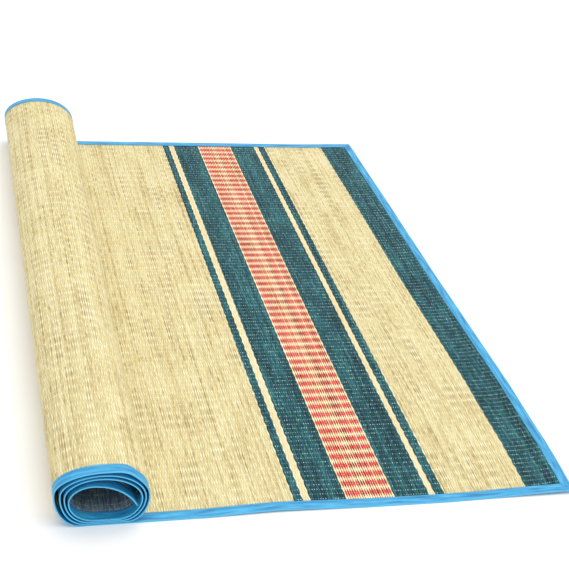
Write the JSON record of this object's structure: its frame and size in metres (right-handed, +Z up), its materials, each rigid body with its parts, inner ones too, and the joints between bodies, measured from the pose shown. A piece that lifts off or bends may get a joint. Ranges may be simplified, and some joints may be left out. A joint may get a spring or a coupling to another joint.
{
  "type": "grass sleeping mat",
  "caption": "Woven reed floor mat with coloured cross stripes and folded tape binding, lying flat at one end and loosely rolled up at the other.",
  "frame": {"origin": "on the floor, under the centre of the part's box", "axes": "+X from the roll to the flat end, along the cotton warps; +Y along the reeds and the roll, from the front edge to the back; +Z up"},
  "size_m": [0.779, 1.2016, 0.0993],
  "materials": {
    "woven_reed": "matt dried reed woven on cotton warps, with green and red dyed stripes",
    "binding_tape": "slightly glossy woven tape, bright blue, folded over the edge and stitched"
  },
  "bodies": {
    "root": {"woven_panel": "woven_reed", "binding_front": "binding_tape", "binding_back": "binding_tape", "binding_flat_end": "binding_tape", "binding_rolled_end": "binding_tape"}
  },
  "joints": []
}
